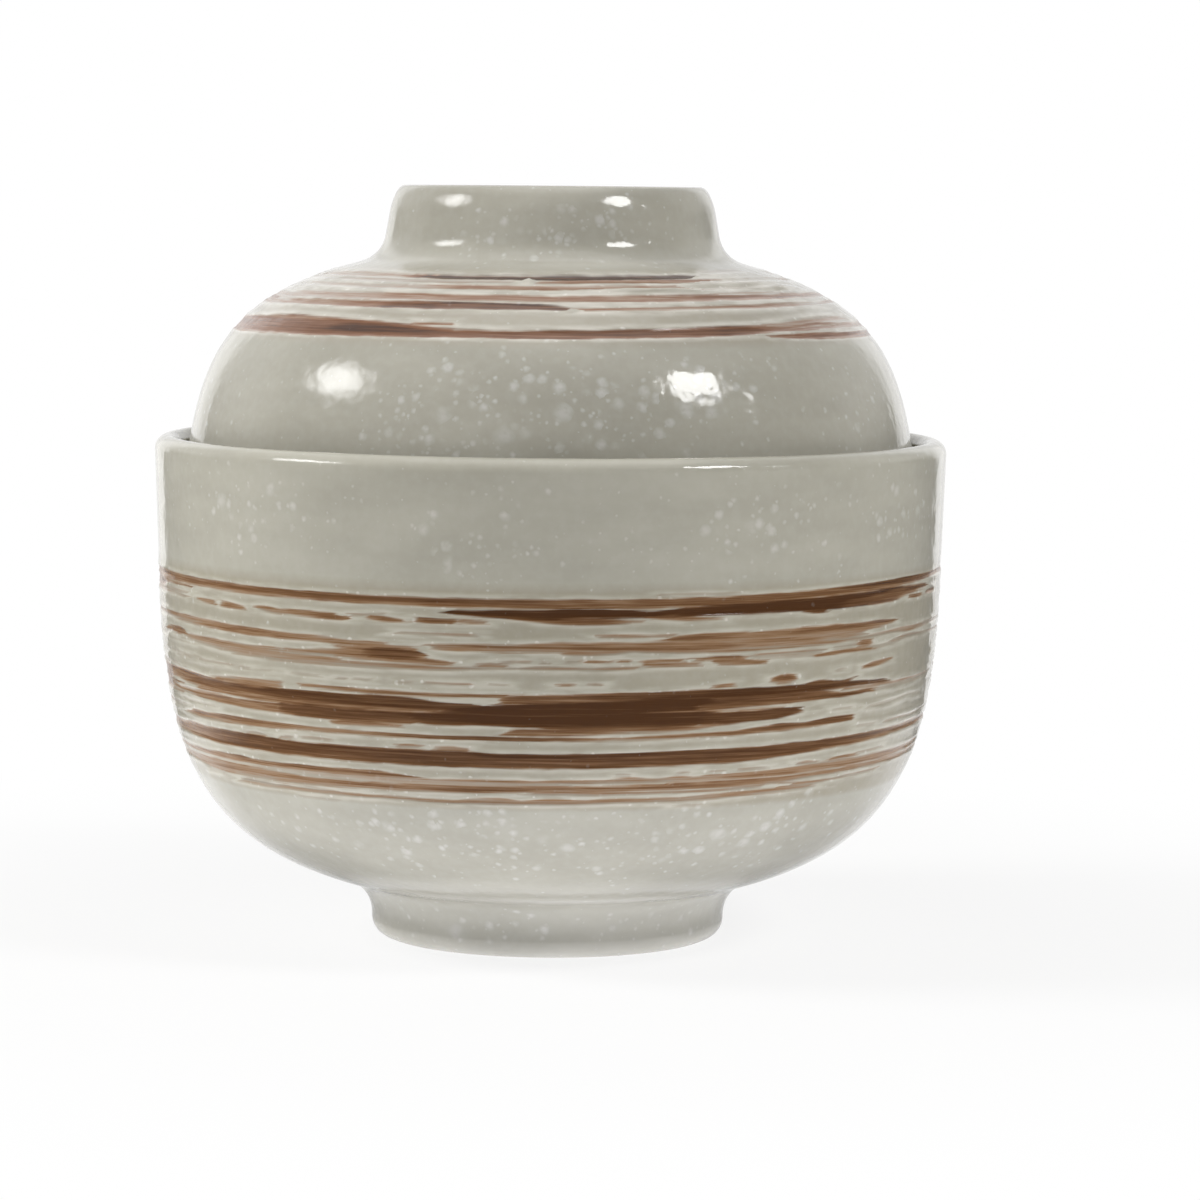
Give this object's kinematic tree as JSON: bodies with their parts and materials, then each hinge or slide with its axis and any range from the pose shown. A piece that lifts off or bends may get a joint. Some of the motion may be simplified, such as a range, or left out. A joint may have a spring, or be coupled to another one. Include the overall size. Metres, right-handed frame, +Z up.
{
  "type": "lidded soup bowl",
  "caption": "Round stoneware soup bowl on a foot ring, with a domed lid that sits on a ledge inside the rim and lifts off by its grip ring; pale glaze with brown turned stripes.",
  "frame": {"origin": "on the axis, in the plane that the foot ring stands on", "axes": "+Z up along the axis that bowl and lid are turned about; +X and +Y are alike"},
  "size_m": [0.1, 0.1, 0.095],
  "materials": {
    "bowl_glaze": "glossy pale grey glaze with brown stripes",
    "lid_glaze": "glossy pale grey glaze with brown stripes"
  },
  "bodies": {
    "bowl": {"bowl": "bowl_glaze"},
    "lid": {"lid": "lid_glaze"}
  },
  "joints": [
    {"name": "lid_lift", "type": "slide", "parent": "bowl", "child": "lid", "axis": [0, 0, 1], "range_m": [0, 0.1]}
  ]
}
